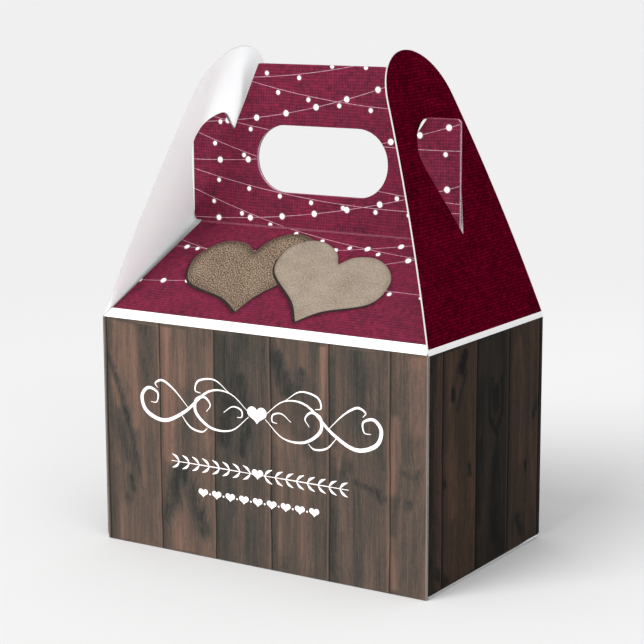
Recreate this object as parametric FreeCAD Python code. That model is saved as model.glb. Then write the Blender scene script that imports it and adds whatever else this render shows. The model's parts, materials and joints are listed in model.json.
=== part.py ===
import FreeCAD, Part
import math
import os

# Gable favour box folded from one die-cut sheet of card, modelled closed.
# X runs across the front, Y from front to back, Z up. Millimetres.
# The origin is the middle of the underside, on the surface the box stands on.

# The closed box.
WIDTH = 101.6
DEPTH = 63.5
WALL_HEIGHT = 62.5
CARD = 0.45
CORNER_RADIUS = 0.6
FOLD_GAP = 0.3
BASE_FOLD_GAP = 0.55

# The roof slopes up to the two handle panels, which stand back to back.
ROOF_RISE = 23.2
HANDLE_GAP = 0.2
ROOF_FOOT_WIDTH = 100.4
ROOF_TOP_WIDTH = 79.6

# The handle: a grip with a hand hole, and an ear at each side that goes through a flap.
EAR_SPAN = 84.2
EAR_BASE = 0.3
EAR_TOP = 31.2
EAR_CORNER = 1.2
EAR_INNER = 65.0
NOTCH_SPAN = 56.6
NOTCH_HEIGHT = 25.9
GRIP_TOP = 44.2
GRIP_WIDTH = 39.8
GRIP_CORNER = 0.6
HOLE_WIDTH = 41.4
HOLE_HEIGHT = 18.3
HOLE_MIDDLE = 18.7
HOLE_RADIUS = 9.0

# The gable flaps: slightly bowed, leaning inwards, with a round top and a heart-shaped slot.
FLAP_LEAN = 19.5
FLAP_LENGTH = 76.4
FLAP_BOW = 1.2
FLAP_FOOT_WIDTH = 62.9
FLAP_TAPER = 0.235
SLOT_TIP = 25.8
SLOT_CUSP = 57.7
SLOT_LOBE_HEIGHT = 54.5
SLOT_LOBE_RADIUS = 4.8
SLOT_LOBE_OFFSET = 4.5

# The base: a tuck-in bottom panel over two dust flaps.
BASE_CLEARANCE = 0.4
TUCK_CLEARANCE = 0.9
TUCK_FOLD_GAP = 0.8
TUCK_HEIGHT = 13.0
TUCK_INSET = 1.2
TUCK_CORNER = 6.0
DUST_LENGTH = 27.0
DUST_FOOT_WIDTH = 57.6
DUST_TIP_WIDTH = 48.0
DUST_CORNER = 4.0
DUST_LEVEL = 0.75
DUST_WALL_CLEARANCE = 0.55

# The glued seam at the back left corner.
TAB_WIDTH = 12.0
TAB_SLANT = 4.0
GLUE_WIDTH = 8.0
GLUE_THICKNESS = 0.1
GLUE_MARGIN = 6.0

X_AXIS = FreeCAD.Vector(1, 0, 0)
Y_AXIS = FreeCAD.Vector(0, 1, 0)
Z_AXIS = FreeCAD.Vector(0, 0, 1)
ORIGIN = FreeCAD.Vector(0, 0, 0)


def point(across, up, out=0.0):
    """A point in a panel's own frame: across it, up it and out of its printed face."""
    return FreeCAD.Vector(across, up, out)


def closed_wire(vertices):
    """Straight edges through the vertices and back to the first."""
    return Part.makePolygon(vertices + vertices[:1])


def corner_arc(before, here, after, radius):
    """Start, middle and end of the arc that rounds a corner."""
    to_before = (before - here).normalize()
    to_after = (after - here).normalize()
    half_angle = to_before.getAngle(to_after) / 2
    reach = radius / math.tan(half_angle)
    bisector = (to_before + to_after).normalize()
    middle = here + bisector * (radius / math.sin(half_angle) - radius)
    return here + to_before * reach, middle, here + to_after * reach


def rounded_wire(corners):
    """Closed outline through corners given as (across, up, radius)."""
    places = [point(across, up) for across, up, radius in corners]
    stretches = []
    for index, (across, up, radius) in enumerate(corners):
        here = places[index]
        if radius:
            after = places[(index + 1) % len(places)]
            stretches.append(corner_arc(places[index - 1], here, after, radius))
        else:
            stretches.append((here, None, here))
    edges = []
    for index, (start, middle, end) in enumerate(stretches):
        if middle:
            edges.append(Part.Arc(start, middle, end).toShape())
        following = stretches[(index + 1) % len(stretches)][0]
        if (following - end).Length > 1e-6:
            edges.append(Part.LineSegment(end, following).toShape())
    return Part.Wire(edges)


def both_sides(right_half):
    """Mirror corners listed from bottom to top on the right side, to close the outline."""
    left_half = [(-across, up, radius) for across, up, radius in reversed(right_half)]
    return right_half + left_half


def plate(wire, thickness=CARD):
    """A flat panel whose printed face is the outline's plane."""
    return Part.Face(wire).extrude(point(0, 0, -thickness))


def through_cut(wire, reach=10.0):
    """A prism that cuts an outline right through a panel."""
    prism = Part.Face(wire).extrude(point(0, 0, 2 * reach))
    prism.translate(point(0, 0, -reach))
    return prism


def placed(shape, foot, up, out):
    """Stand a panel at its foot, with its own up and out directions turned to the box's."""
    across = up.cross(out)
    matrix = FreeCAD.Matrix(
        across.x, up.x, out.x, foot.x,
        across.y, up.y, out.y, foot.y,
        across.z, up.z, out.z, foot.z,
        0, 0, 0, 1)
    shape.Placement = FreeCAD.Placement(matrix)
    return shape


def half_turned(shape):
    """The opposite panel of the box: the same shape turned half way round the Z axis."""
    other = shape.copy()
    other.rotate(ORIGIN, Z_AXIS, 180)
    return other


def wall(length, low, high):
    """A wall along +X with its printed face to -Y, and the rounded corner fold at its far end."""
    half = length / 2 - CORNER_RADIUS
    inner = CORNER_RADIUS - CARD
    turn = math.sqrt(0.5)
    face_y = -CORNER_RADIUS
    middle_out = FreeCAD.Vector(half + CORNER_RADIUS * turn, -CORNER_RADIUS * turn, 0)
    middle_in = FreeCAD.Vector(half + inner * turn, -inner * turn, 0)
    start_out = FreeCAD.Vector(half, face_y, 0)
    start_in = FreeCAD.Vector(half, -inner, 0)
    end_out = FreeCAD.Vector(half + CORNER_RADIUS, 0, 0)
    end_in = FreeCAD.Vector(half + inner, 0, 0)
    far_out = FreeCAD.Vector(-half, face_y, 0)
    far_in = FreeCAD.Vector(-half, -inner, 0)
    profile = Part.Wire([
        Part.LineSegment(far_out, start_out).toShape(),
        Part.Arc(start_out, middle_out, end_out).toShape(),
        Part.LineSegment(end_out, end_in).toShape(),
        Part.Arc(end_in, middle_in, start_in).toShape(),
        Part.LineSegment(start_in, far_in).toShape(),
        Part.LineSegment(far_in, far_out).toShape()])
    solid = Part.Face(profile).extrude(Z_AXIS * (high - low))
    solid.translate(Z_AXIS * low)
    return solid


def standing_wall(length, low, turn, distance):
    """A wall with its corner fold, turned round the Z axis and set out from the middle."""
    solid = wall(length, low, WALL_HEIGHT - FOLD_GAP)
    solid.translate(Y_AXIS * (CORNER_RADIUS - distance))
    solid.rotate(ORIGIN, Z_AXIS, turn)
    return solid


def front_wall():
    """The front, with the front right corner fold. Its bottom edge is a cut edge."""
    return standing_wall(WIDTH, 0, 0, DEPTH / 2)


def right_wall():
    """The right side, with the back right corner fold."""
    return standing_wall(DEPTH, BASE_FOLD_GAP, 90, WIDTH / 2)


def back_wall():
    """The back. Its left edge is a cut edge, glued over the seam tab."""
    low = BASE_FOLD_GAP
    height = WALL_HEIGHT - FOLD_GAP - low
    length = WIDTH - CORNER_RADIUS
    corner = FreeCAD.Vector(-WIDTH / 2, DEPTH / 2 - CARD, low)
    return Part.makeBox(length, CARD, height, corner)


def tab_face_y():
    """Where the seam tab's glued face lies, behind the back wall and the glue."""
    return DEPTH / 2 - CARD - GLUE_THICKNESS


def left_wall():
    """The left side, with the front left corner fold. It stops short for the seam tab's fold."""
    whole = standing_wall(DEPTH, BASE_FOLD_GAP, 270, WIDTH / 2)
    kept_depth = DEPTH / 2 + tab_face_y() - CORNER_RADIUS
    corner = FreeCAD.Vector(-WIDTH / 2 - 1, -DEPTH / 2 - 1, 0)
    kept = Part.makeBox(10, kept_depth + 1, WALL_HEIGHT, corner)
    return whole.common(kept)


def seam_tab():
    """The glue tab, folded round from the left wall's back edge, with slanted ends."""
    solid = wall(2 * TAB_WIDTH, BASE_FOLD_GAP, WALL_HEIGHT - FOLD_GAP)
    solid.rotate(ORIGIN, Z_AXIS, 180)
    solid.translate(FreeCAD.Vector(TAB_WIDTH - WIDTH / 2, tab_face_y() - CORNER_RADIUS, 0))
    low = BASE_FOLD_GAP
    high = WALL_HEIGHT - FOLD_GAP
    left = -WIDTH / 2
    right = left + TAB_WIDTH
    outline = closed_wire([
        FreeCAD.Vector(left - 1, 0, low), FreeCAD.Vector(left + 1, 0, low),
        FreeCAD.Vector(right, 0, low + TAB_SLANT), FreeCAD.Vector(right, 0, high - TAB_SLANT),
        FreeCAD.Vector(left + 1, 0, high), FreeCAD.Vector(left - 1, 0, high)])
    return solid.common(Part.Face(outline).extrude(Y_AXIS * DEPTH))


def seam_glue():
    """The thin layer of glue between the seam tab and the back wall."""
    low = BASE_FOLD_GAP + GLUE_MARGIN
    height = WALL_HEIGHT - FOLD_GAP - GLUE_MARGIN - low
    left = -WIDTH / 2 + (TAB_WIDTH - GLUE_WIDTH) / 2
    corner = FreeCAD.Vector(left, tab_face_y(), low)
    return Part.makeBox(GLUE_WIDTH, GLUE_THICKNESS, height, corner)


def handle_face_y():
    """How far the front handle's printed face stands in front of the middle plane."""
    return HANDLE_GAP / 2 + CARD


def roof_run():
    return DEPTH / 2 - handle_face_y()


def front_roof():
    """The front slope, from the front wall's top fold to the handle's fold."""
    length = math.hypot(roof_run(), ROOF_RISE)
    up = FreeCAD.Vector(0, roof_run(), ROOF_RISE).normalize()
    out = X_AXIS.cross(up)
    outline = rounded_wire(both_sides([
        (ROOF_FOOT_WIDTH / 2, FOLD_GAP, 0),
        (ROOF_TOP_WIDTH / 2, length - FOLD_GAP, 0)]))
    return placed(plate(outline), FreeCAD.Vector(0, -DEPTH / 2, WALL_HEIGHT), up, out)


def front_handle():
    """The front handle panel, with its hand hole, its ears and the notches above them."""
    outline = rounded_wire(both_sides([
        (EAR_SPAN / 2, EAR_BASE, EAR_CORNER),
        (EAR_SPAN / 2, EAR_TOP, EAR_CORNER),
        (EAR_INNER / 2, EAR_TOP, 0),
        (NOTCH_SPAN / 2, NOTCH_HEIGHT, 0),
        (GRIP_WIDTH / 2, GRIP_TOP, GRIP_CORNER)]))
    hole_low = HOLE_MIDDLE - HOLE_HEIGHT / 2
    hole_high = HOLE_MIDDLE + HOLE_HEIGHT / 2
    hole = rounded_wire(both_sides([
        (HOLE_WIDTH / 2, hole_low, HOLE_RADIUS),
        (HOLE_WIDTH / 2, hole_high, HOLE_RADIUS)]))
    panel = plate(outline).cut(through_cut(hole))
    foot = FreeCAD.Vector(0, -handle_face_y(), WALL_HEIGHT + ROOF_RISE)
    return placed(panel, foot, Z_AXIS, -Y_AXIS)


def flap_outline():
    """Slanted sides from the foot, running tangent into a round top."""
    slant = math.atan(FLAP_TAPER)
    foot_half = FLAP_FOOT_WIDTH / 2
    crown_radius = (foot_half - FLAP_TAPER * FLAP_LENGTH) / (1 / math.cos(slant) - FLAP_TAPER)
    crown_height = FLAP_LENGTH - crown_radius
    shoulder_half = crown_radius * math.cos(slant)
    shoulder_height = crown_height + crown_radius * math.sin(slant)
    foot_right = point(foot_half - FLAP_TAPER * FOLD_GAP, FOLD_GAP)
    foot_left = point(-foot_right.x, FOLD_GAP)
    shoulder_right = point(shoulder_half, shoulder_height)
    shoulder_left = point(-shoulder_half, shoulder_height)
    return Part.Wire([
        Part.LineSegment(foot_left, foot_right).toShape(),
        Part.LineSegment(foot_right, shoulder_right).toShape(),
        Part.Arc(shoulder_right, point(0, FLAP_LENGTH), shoulder_left).toShape(),
        Part.LineSegment(shoulder_left, foot_left).toShape()])


def heart_slot():
    """Heart outline: straight sides from the tip, tangent to the lobes, which meet in a cusp."""
    tip = point(0, SLOT_TIP)
    middle = point(SLOT_LOBE_OFFSET, SLOT_LOBE_HEIGHT)
    to_middle = middle - tip
    side_length = math.sqrt(to_middle.Length ** 2 - SLOT_LOBE_RADIUS ** 2)
    to_side = math.asin(SLOT_LOBE_RADIUS / to_middle.Length)
    direction = math.atan2(to_middle.y, to_middle.x) - to_side
    shoulder = tip + point(math.cos(direction), math.sin(direction)) * side_length
    crown = middle + point(0, SLOT_LOBE_RADIUS)
    shoulder_angle = direction - math.pi / 2
    flank_angle = (shoulder_angle + math.pi / 2) / 2
    flank = middle + point(math.cos(flank_angle), math.sin(flank_angle)) * SLOT_LOBE_RADIUS
    right = [
        Part.LineSegment(tip, shoulder).toShape(),
        Part.Arc(shoulder, flank, crown).toShape(),
        Part.LineSegment(crown, point(0, SLOT_CUSP)).toShape()]
    left = [
        Part.LineSegment(point(0, SLOT_CUSP), point(-crown.x, crown.y)).toShape(),
        Part.Arc(point(-crown.x, crown.y), point(-flank.x, flank.y),
                 point(-shoulder.x, shoulder.y)).toShape(),
        Part.LineSegment(point(-shoulder.x, shoulder.y), tip).toShape()]
    return Part.Wire(right + left)


def bowed_sheet():
    """The flap's bowed card before it is cut out, bulging out of its printed face."""
    half_chord = FLAP_LENGTH / 2
    bow_radius = (half_chord ** 2 + FLAP_BOW ** 2) / (2 * FLAP_BOW)
    centre_out = FLAP_BOW - bow_radius
    reach = half_chord + 1

    def on_bow(up, radius):
        return point(0, up, centre_out + math.sqrt(radius ** 2 - (up - half_chord) ** 2))

    low = half_chord - reach
    high = half_chord + reach
    inner_radius = bow_radius - CARD
    inner = [on_bow(up, inner_radius) for up in (low, half_chord, high)]
    outer = [on_bow(up, bow_radius) for up in (high, half_chord, low)]
    profile = Part.Wire([
        Part.Arc(*inner).toShape(),
        Part.LineSegment(inner[2], outer[0]).toShape(),
        Part.Arc(*outer).toShape(),
        Part.LineSegment(outer[2], inner[0]).toShape()])
    sheet = Part.Face(profile).extrude(point(DEPTH, 0, 0))
    sheet.translate(point(-DEPTH / 2, 0, 0))
    return sheet


def right_flap():
    """The right gable flap, leaning in from the right wall's top fold."""
    panel = bowed_sheet().common(through_cut(flap_outline()))
    panel = panel.cut(through_cut(heart_slot()))
    lean = math.radians(FLAP_LEAN)
    up = FreeCAD.Vector(-math.sin(lean), 0, math.cos(lean))
    out = FreeCAD.Vector(math.cos(lean), 0, math.sin(lean))
    return placed(panel, FreeCAD.Vector(WIDTH / 2, 0, WALL_HEIGHT), up, out)


def tuck_face_y():
    """Where the tuck flap's printed face lies, just inside the front wall."""
    return -DEPTH / 2 + CARD + TUCK_CLEARANCE


def bottom_panel():
    """The bottom, hinged at the back wall's bottom edge and lying on the surface below."""
    half_width = WIDTH / 2 - CARD - BASE_CLEARANCE
    front = tuck_face_y() + TUCK_FOLD_GAP
    back = DEPTH / 2 - BASE_FOLD_GAP
    return Part.makeBox(2 * half_width, back - front, CARD, FreeCAD.Vector(-half_width, front, 0))


def tuck_flap():
    """The flap folded up from the bottom's front edge, tucked inside the front wall."""
    half_width = WIDTH / 2 - CARD - BASE_CLEARANCE - TUCK_INSET
    outline = rounded_wire(both_sides([
        (half_width, TUCK_FOLD_GAP, 0),
        (half_width, TUCK_HEIGHT, TUCK_CORNER)]))
    return placed(plate(outline), FreeCAD.Vector(0, tuck_face_y(), 0), Z_AXIS, -Y_AXIS)


def right_dust_flap():
    """The dust flap folded in from the right wall's bottom edge, above the bottom panel."""
    outline = rounded_wire(both_sides([
        (DUST_FOOT_WIDTH / 2, 0, 0),
        (DUST_TIP_WIDTH / 2, DUST_LENGTH, DUST_CORNER)]))
    foot = FreeCAD.Vector(WIDTH / 2 - CARD - DUST_WALL_CLEARANCE, 0, DUST_LEVEL)
    return placed(plate(outline), foot, -X_AXIS, -Z_AXIS)


def parts():
    """Every panel of the box by name."""
    roof = front_roof()
    handle = front_handle()
    flap = right_flap()
    dust_flap = right_dust_flap()
    return {
        "front_wall": front_wall(),
        "right_wall": right_wall(),
        "back_wall": back_wall(),
        "left_wall": left_wall(),
        "seam_tab": seam_tab(),
        "seam_glue": seam_glue(),
        "front_roof": roof,
        "back_roof": half_turned(roof),
        "front_handle": handle,
        "back_handle": half_turned(handle),
        "right_gable_flap": flap,
        "left_gable_flap": half_turned(flap),
        "bottom_panel": bottom_panel(),
        "tuck_flap": tuck_flap(),
        "right_dust_flap": dust_flap,
        "left_dust_flap": half_turned(dust_flap),
    }


os.makedirs("parts", exist_ok=True)
for name, shape in parts().items():
    shape.exportStep("parts/" + name + ".step")
    box = shape.BoundBox
    print(f"{name:18s} valid {shape.isValid()} solids {len(shape.Solids)} volume {shape.Volume:8.1f} "
          f"x {box.XMin:7.2f} {box.XMax:7.2f} y {box.YMin:7.2f} {box.YMax:7.2f} "
          f"z {box.ZMin:7.2f} {box.ZMax:7.2f}")
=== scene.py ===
import json
import math
import bpy
import numpy as np
from mathutils import Matrix, Vector
from mathutils.geometry import delaunay_2d_cdt


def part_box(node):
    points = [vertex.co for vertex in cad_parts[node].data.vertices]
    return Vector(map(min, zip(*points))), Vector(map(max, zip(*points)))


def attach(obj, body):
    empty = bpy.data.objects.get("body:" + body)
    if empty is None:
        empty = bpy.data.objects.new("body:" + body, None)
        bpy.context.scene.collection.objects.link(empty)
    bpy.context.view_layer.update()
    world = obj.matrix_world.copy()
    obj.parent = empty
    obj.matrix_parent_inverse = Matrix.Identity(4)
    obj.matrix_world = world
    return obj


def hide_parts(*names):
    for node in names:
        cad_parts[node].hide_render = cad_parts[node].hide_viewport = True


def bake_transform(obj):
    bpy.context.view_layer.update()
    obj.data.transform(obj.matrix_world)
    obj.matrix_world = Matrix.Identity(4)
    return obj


# A printed gable favour box, folded from one sheet of card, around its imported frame.
# Every panel is drawn flat in millimetres, across and up from its own fold, with the
# print inlaid in its face, and then put in its place in the frame. Blender's unit is the metre.

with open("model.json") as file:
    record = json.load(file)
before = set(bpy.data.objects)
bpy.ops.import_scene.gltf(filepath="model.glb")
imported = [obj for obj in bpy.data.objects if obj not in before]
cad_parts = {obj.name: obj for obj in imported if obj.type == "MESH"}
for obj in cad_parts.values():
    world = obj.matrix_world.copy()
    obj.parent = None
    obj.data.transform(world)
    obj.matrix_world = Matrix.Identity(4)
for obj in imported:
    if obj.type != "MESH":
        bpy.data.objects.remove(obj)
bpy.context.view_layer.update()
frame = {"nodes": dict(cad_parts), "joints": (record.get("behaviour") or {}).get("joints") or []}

MM = 0.001

# ---- Sizes, in millimetres ----


def node_box(node):
    """Lowest and highest corner of a CAD node, in millimetres."""
    low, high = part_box(node)
    return low / MM, high / MM


PIVOTS = {joint["name"]: Vector(joint["pos_m"]) / MM for joint in frame["joints"]}
WALL_BOX = node_box("front_wall")
SIDE_BOX = node_box("right_wall")
HANDLE_BOX = node_box("front_handle")
BOTTOM_BOX = node_box("bottom_panel")
TUCK_BOX = node_box("tuck_flap")
DUST_BOX = node_box("right_dust_flap")

WIDTH = 2 * WALL_BOX[1].x
DEPTH = -2 * WALL_BOX[0].y
WALL_TOP = WALL_BOX[1].z
CARD = BOTTOM_BOX[1].z - BOTTOM_BOX[0].z
FOLD_GAP = PIVOTS["front_roof_fold"].z - WALL_TOP
SIDE_LOW = SIDE_BOX[0].z
CORNER_RADIUS = 0.6
CUT_ROUNDING = 0.05

ROOF_FOOT_WIDTH = 100.4
ROOF_TOP_WIDTH = 79.6
ROOF_BAND = 3.3
EAR_SPAN = 2 * HANDLE_BOX[1].x
EAR_BASE = HANDLE_BOX[0].z - PIVOTS["front_handle_fold"].z
EAR_TOP = 31.6
EAR_CORNER = 1.2
EAR_INNER = 65.0
NOTCH_SPAN = 56.6
NOTCH_HEIGHT = 25.9
GRIP_TOP = HANDLE_BOX[1].z - PIVOTS["front_handle_fold"].z
GRIP_WIDTH = 39.8
GRIP_CORNER = 0.6
HOLE_WIDTH = 41.4
HOLE_HEIGHT = 18.3
HOLE_MIDDLE = 18.7
HOLE_RADIUS = 9.0

FLAP_LEAN = math.radians(19.5)
FLAP_LENGTH = 76.4
FLAP_BOW = 1.2
FLAP_FOOT_WIDTH = 62.9
FLAP_TAPER = 0.235
FLAP_BAND = 1.25
SLOT_TIP = 26.7
SLOT_CUSP = 54.1
TONGUE_PINCH = 5.6
TONGUE_HALF_WIDTH = 8.5
TONGUE_ROOT = 46.0

# ---- Flat drawing ----

def flat(across, up):
    return Vector((across, up))


def edges_of(loop):
    """Each item of a closed loop with the one after it."""
    return zip(loop, loop[1:] + loop[:1])


def rectangle(left, right, low, high):
    return [flat(left, low), flat(right, low), flat(right, high), flat(left, high)]


def arc(centre, radius, start, end, steps):
    """Points along an arc, both ends included. Angles in radians."""
    angles = [start + (end - start) * step / steps for step in range(steps + 1)]
    return [centre + flat(math.cos(angle), math.sin(angle)) * radius for angle in angles]


def rounded(corners, steps=6):
    """Closed outline through corners given as (across, up, radius)."""
    places = [flat(across, up) for across, up, radius in corners]
    outline = []
    for index, (across, up, radius) in enumerate(corners):
        here = places[index]
        if not radius:
            outline.append(here)
            continue
        to_before = (places[index - 1] - here).normalized()
        to_after = (places[(index + 1) % len(places)] - here).normalized()
        half_angle = to_before.angle(to_after) / 2
        reach = radius / math.tan(half_angle)
        start = here + to_before * reach
        end = here + to_after * reach
        centre = here + (to_before + to_after).normalized() * (radius / math.sin(half_angle))
        first = math.atan2(*(start - centre).yx)
        turn = (start - centre).angle_signed(end - centre)
        outline += arc(centre, radius, first, first - turn, steps)
    return outline


def both_sides(right_half):
    """Mirror corners listed from bottom to top on the right side, to close the outline."""
    return right_half + [(-across, up, radius) for across, up, radius in reversed(right_half)]


def curve(points, steps=6):
    """Smooth open curve through the points."""
    ends = [2 * points[0] - points[1]] + points + [2 * points[-1] - points[-2]]
    smooth = []
    for a, b, c, d in zip(ends, ends[1:], ends[2:], ends[3:]):
        for step in range(steps):
            t = step / steps
            smooth.append(0.5 * (2 * b + (c - a) * t + (2 * a - 5 * b + 4 * c - d) * t * t
                                 + (3 * b - a - 3 * c + d) * t ** 3))
    return smooth + [points[-1]]


def offset_loop(loop, distance):
    """The closed loop moved to its right by a distance, with mitred corners."""
    moved = []
    for index, here in enumerate(loop):
        before = (here - loop[index - 1]).normalized()
        after = (loop[(index + 1) % len(loop)] - here).normalized()
        right_before = flat(before.y, -before.x)
        right_after = flat(after.y, -after.x)
        mitre = (right_before + right_after) / max(0.3, 1 + right_before.dot(right_after))
        moved.append(here + mitre * distance)
    return moved


def doubled_area(loop):
    """Twice the area inside a loop, negative when it runs clockwise."""
    return sum(a.cross(b) for a, b in edges_of(loop))


def anticlockwise(loop):
    return loop if doubled_area(loop) > 0 else loop[::-1]


def disc(centre, radius, steps=16):
    return arc(centre, radius, 0, math.tau * (steps - 1) / steps, steps - 1)


def stroke(points, widths):
    """Quads along a line whose width is given at each point."""
    sides = []
    for index, here in enumerate(points):
        along = (points[min(index + 1, len(points) - 1)] - points[max(index - 1, 0)]).normalized()
        side = flat(-along.y, along.x) * widths[index] / 2
        sides.append((here + side, here - side))
    return [[a[0], a[1], b[1], b[0]] for a, b in zip(sides, sides[1:])]


def closed_by_mirror(right):
    """Outline whose given right half starts and ends on the middle line."""
    return right + [flat(-spot.x, spot.y) for spot in reversed(right[1:-1])]


# Right half of a heart that stands on its tip.
HEART_SIDE = [(0, 0), (5.2, 5.6), (16.0, 12.5), (17.6, 20.1), (14.3, 24.8), (8.8, 26.7),
              (3.1, 24.9), (0, 21.2)]


def heart(tip, lean, size=1.0, stretch=1.0, slant=0.0):
    """A heart outline standing on its tip, leaning anticlockwise by degrees."""
    outline = closed_by_mirror(curve([flat(*spot) for spot in HEART_SIDE]))
    turn = Matrix.Rotation(math.radians(lean), 2)
    return [tip + turn @ flat(spot.x * stretch + spot.y * slant, spot.y) * size for spot in outline]


def divided(loop, step):
    """The closed loop with its long edges cut into equal lengths of about a step."""
    result = []
    for here, after in edges_of(loop):
        count = max(1, round((after - here).length / step))
        result += [here.lerp(after, index / count) for index in range(count)]
    return result


# ---- Where each panel's flat drawing goes ----

X_AXIS = Vector((1, 0, 0))
Y_AXIS = Vector((0, 1, 0))
Z_AXIS = Vector((0, 0, 1))
HALF_TURN = Matrix.Rotation(math.pi, 3, "Z")


def plane_place(foot, up_way, out_way):
    """Map of a flat panel: foot of its middle line, and its own up and out directions."""
    across_way = up_way.cross(out_way)
    return lambda across, up, out: foot + across_way * across + up_way * up + out_way * out


def half_turned(place):
    """The same panel on the opposite side of the box."""
    return lambda across, up, out: HALF_TURN @ place(across, up, out)


def wall_place(length, turn, distance):
    """Map of a wall with the rounded corner fold at its right end, turned round the Z axis."""
    half = length / 2 - CORNER_RADIUS
    rotation = Matrix.Rotation(math.radians(turn), 3, "Z")

    def place(across, up, out):
        angle = max(0.0, across - half) / CORNER_RADIUS
        reach = CORNER_RADIUS + out
        spot = Vector((min(across, half) + math.sin(angle) * reach,
                       CORNER_RADIUS - distance - math.cos(angle) * reach, up))
        return rotation @ spot

    return place


def flap_bow(up, inset=0.0):
    """How far the bowed flap bulges out at a height."""
    half = FLAP_LENGTH / 2
    radius = (half ** 2 + FLAP_BOW ** 2) / (2 * FLAP_BOW)
    return FLAP_BOW - radius + math.sqrt((radius - inset) ** 2 - (up - half) ** 2)


def smooth_step(value):
    value = min(max(value, 0.0), 1.0)
    return value * value * (3 - 2 * value)


def tongue_pinch(across, up):
    """How far the tongue above the slot's cusp is pushed in, between the ear and the grip."""
    beside = smooth_step(1 - abs(across) / TONGUE_HALF_WIDTH)
    rise = smooth_step((up - TONGUE_ROOT) / (SLOT_CUSP - TONGUE_ROOT))
    fade = smooth_step((FLAP_LENGTH - up) / (FLAP_LENGTH - SLOT_CUSP))
    return TONGUE_PINCH * beside * rise * fade


def flap_place(across, up, out):
    """Map of the right gable flap: bowed, leaning in, with its tongue pushed inwards."""
    bulge = flap_bow(up, -out) - tongue_pinch(across, up)
    return PIVOTS["right_gable_fold"] + Vector((0, across, 0)) + FLAP_UP * up + FLAP_OUT * bulge


FLAP_UP = Vector((-math.sin(FLAP_LEAN), 0, math.cos(FLAP_LEAN)))
FLAP_OUT = Vector((math.cos(FLAP_LEAN), 0, math.sin(FLAP_LEAN)))
ROOF_RUN = PIVOTS["front_handle_fold"] - PIVOTS["front_roof_fold"]
ROOF_LENGTH = ROOF_RUN.length
ROOF_UP = ROOF_RUN.normalized()
ROOF_OUT = X_AXIS.cross(ROOF_UP)
roof_place = plane_place(PIVOTS["front_roof_fold"], ROOF_UP, ROOF_OUT)
handle_place = plane_place(PIVOTS["front_handle_fold"], Z_AXIS, -Y_AXIS)
back_place = plane_place(Y_AXIS * (DEPTH / 2), Z_AXIS, Y_AXIS)

# ---- Materials ----

# How strongly the studio lights the front and the sides, so that the print tones can be given as seen.
FRONT_LIGHT = 1.9
SIDE_LIGHT = 1.38


def printed(red, green, blue, light=1.0):
    """Linear colour of a tone given as 0 to 255, seen as that under a light of this strength."""
    tones = [tone / 255 for tone in (red, green, blue)]
    linear = [t / 12.92 if t <= 0.04045 else ((t + 0.055) / 1.055) ** 2.4 for t in tones]
    return tuple(part / light for part in linear) + (1.0,)


def dimmed(colour, share):
    return tuple(share * part for part in colour[:3]) + (1.0,)


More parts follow.
